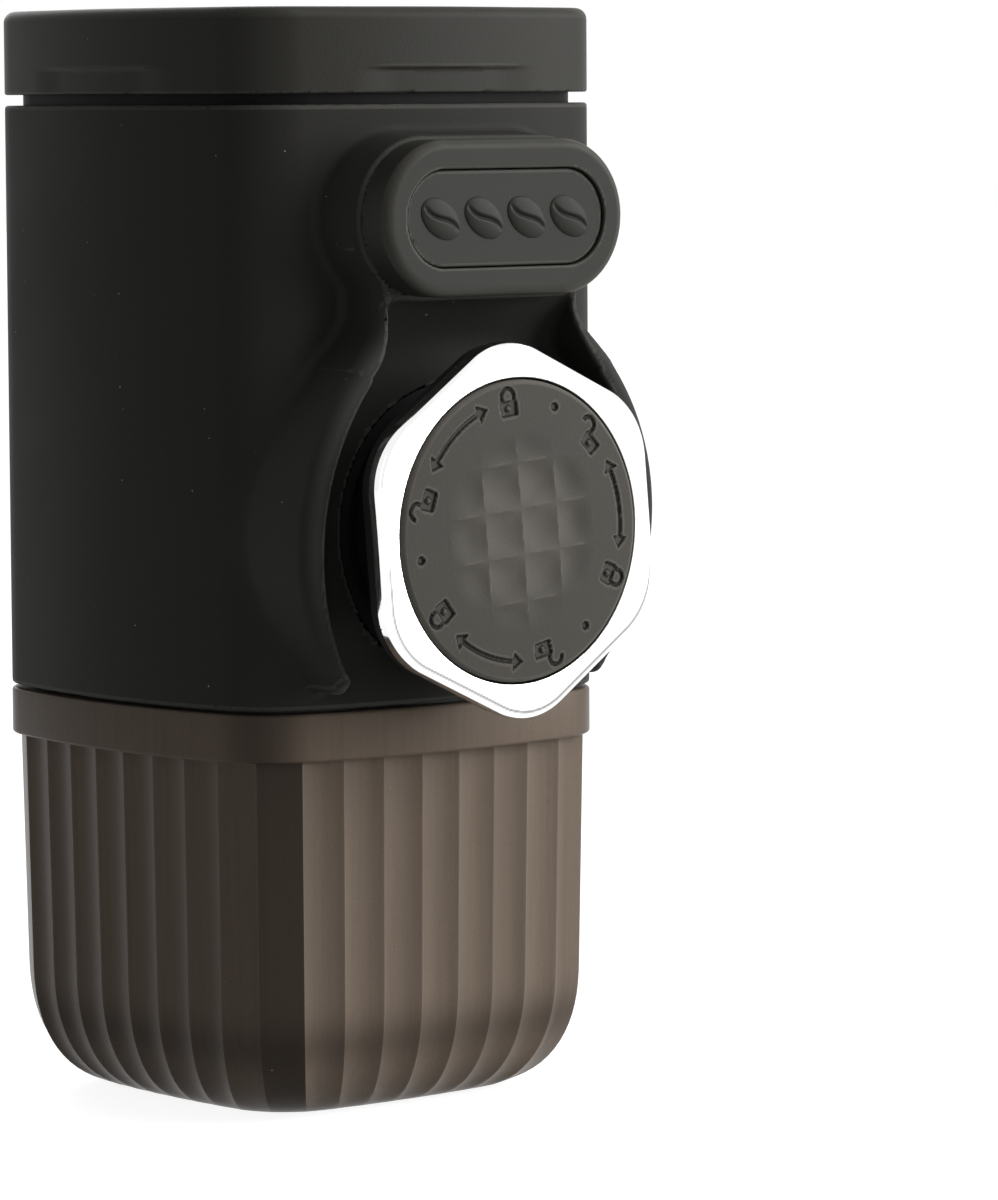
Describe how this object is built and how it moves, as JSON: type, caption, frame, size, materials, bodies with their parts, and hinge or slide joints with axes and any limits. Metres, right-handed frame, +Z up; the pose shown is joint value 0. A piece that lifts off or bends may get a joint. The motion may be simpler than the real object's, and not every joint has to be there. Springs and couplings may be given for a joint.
{
  "type": "portable coffee maker",
  "caption": "Hand-pump portable coffee maker: rounded-square body with lid, water tank, pressing and turning six-lobed knob, and a fluted smoky cup below.",
  "frame": {"origin": "middle of the cup's flat base", "axes": "+Z up, the knob faces -Y, +X to the right of the knob's face as seen from behind the knob"},
  "size_m": [0.066, 0.0797, 0.1441],
  "materials": {
    "soft_black": "soft-touch matte",
    "lid_black": "fine matte",
    "badge_black": "fine matte",
    "smoky_cup": "frosted, translucent",
    "chrome_ring": "polished",
    "knob_rubber": "matte",
    "knob_black": "matte",
    "tank_black": "fine matte",
    "seal_rubber": "satin",
    "silicone_clear": "satin",
    "silicone_red": "satin",
    "steel": "brushed",
    "pump_white": "satin",
    "bush_white": "satin",
    "frame_black": "matte",
    "holder_black": "satin"
  },
  "bodies": {
    "cup_body": {"cup": "smoky_cup"},
    "lid_body": {"lid": "lid_black", "lid_gasket": "seal_rubber", "vent_valve": "silicone_clear"},
    "plunger": {"piston_rod": "steel", "piston_head": "pump_white", "piston_seal": "seal_rubber", "rod_clip": "steel", "knob_screw": "steel"},
    "knob": {"knob_core": "knob_black", "knob_rim": "chrome_ring", "knob_insert": "knob_rubber"},
    "basket_body": {"filter_basket": "steel"},
    "holder": {"portafilter": "holder_black", "spout": "steel"},
    "housing": {"casing": "soft_black", "oval_cap": "badge_black", "oval_inlay": "badge_black", "water_tank": "tank_black", "intake_screen": "steel", "intake_tube": "silicone_clear", "pump_cylinder": "pump_white", "gland_bush": "bush_white", "gland_seal": "seal_rubber", "return_spring": "steel", "knob_well": "knob_black", "lock_ring": "steel", "valve_block": "pump_white", "inlet_valve": "silicone_red", "outlet_ball": "steel", "outlet_spring": "steel", "block_seal": "seal_rubber", "block_screws": "steel", "pump_cradle": "frame_black", "cradle_strap": "frame_black", "strap_screws": "steel", "brew_head": "holder_black", "head_screws": "steel", "cup_seal": "seal_rubber", "group_gasket": "silicone_red", "shower_screen": "steel", "shower_screw": "steel"}
  },
  "joints": [
    {"name": "body_lift", "type": "slide", "parent": "cup_body", "child": "housing", "axis": [0, 0, 1], "range_m": [0, 0.06]},
    {"name": "lid_lift", "type": "slide", "parent": "housing", "child": "lid_body", "axis": [0, 0, 1], "range_m": [0, 0.025]},
    {"name": "piston_press", "type": "slide", "parent": "housing", "child": "plunger", "axis": [0, 1, 0], "range_m": [0, 0.008], "stiffness_N_per_m": 700, "deforming": ["return_spring"]},
    {"name": "knob_turn", "type": "hinge", "parent": "plunger", "child": "knob", "pos_m": [0, -0.04, 0.0769], "axis": [0, 1, 0], "range_deg": [0, 60]},
    {"name": "holder_drop", "type": "slide", "parent": "housing", "child": "basket_body", "axis": [0, 0, -1], "range_m": [0, 0.014]},
    {"name": "holder_turn", "type": "hinge", "parent": "basket_body", "child": "holder", "pos_m": [0, 0, 0.04], "axis": [0, 0, 1], "range_deg": [0, 60]}
  ]
}
